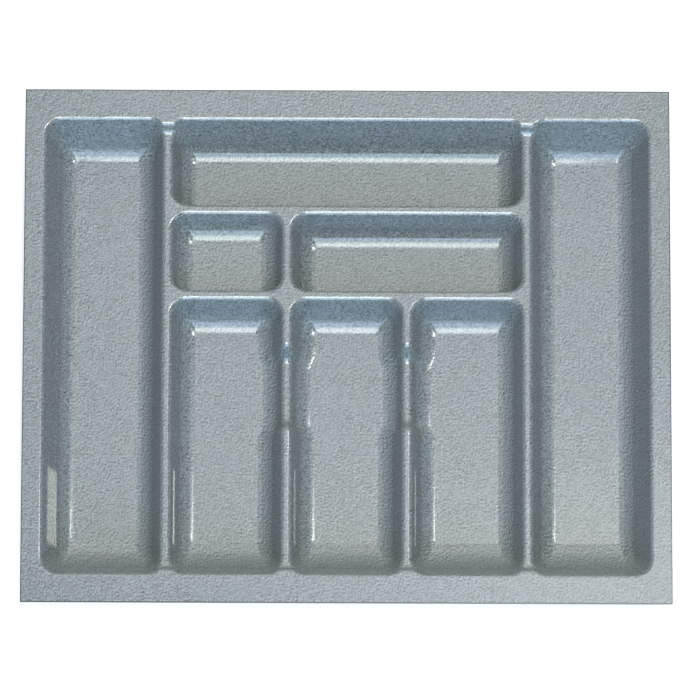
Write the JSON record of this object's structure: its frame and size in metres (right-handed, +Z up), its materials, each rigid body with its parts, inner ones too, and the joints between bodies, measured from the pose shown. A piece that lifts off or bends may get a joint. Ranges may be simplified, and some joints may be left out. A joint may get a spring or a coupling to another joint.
{
  "type": "cutlery tray",
  "caption": "Rectangular drawer tray formed from one plastic sheet, with a flat rim, rounded compartments for cutlery, lowered crests and finger notches.",
  "frame": {"origin": "middle of the level plane that the compartment floors rest on, under the middle of the tray", "axes": "+X along the front edge towards the side of the larger middle compartment, +Y from the front of the drawer to its back, +Z up out of the compartments"},
  "size_m": [0.62, 0.51, 0.052],
  "materials": {
    "tray_plastic": "silver-grey sheet with a fine embossed grain, semi-gloss"
  },
  "bodies": {
    "root": {"formed_tray": "tray_plastic"}
  },
  "joints": []
}
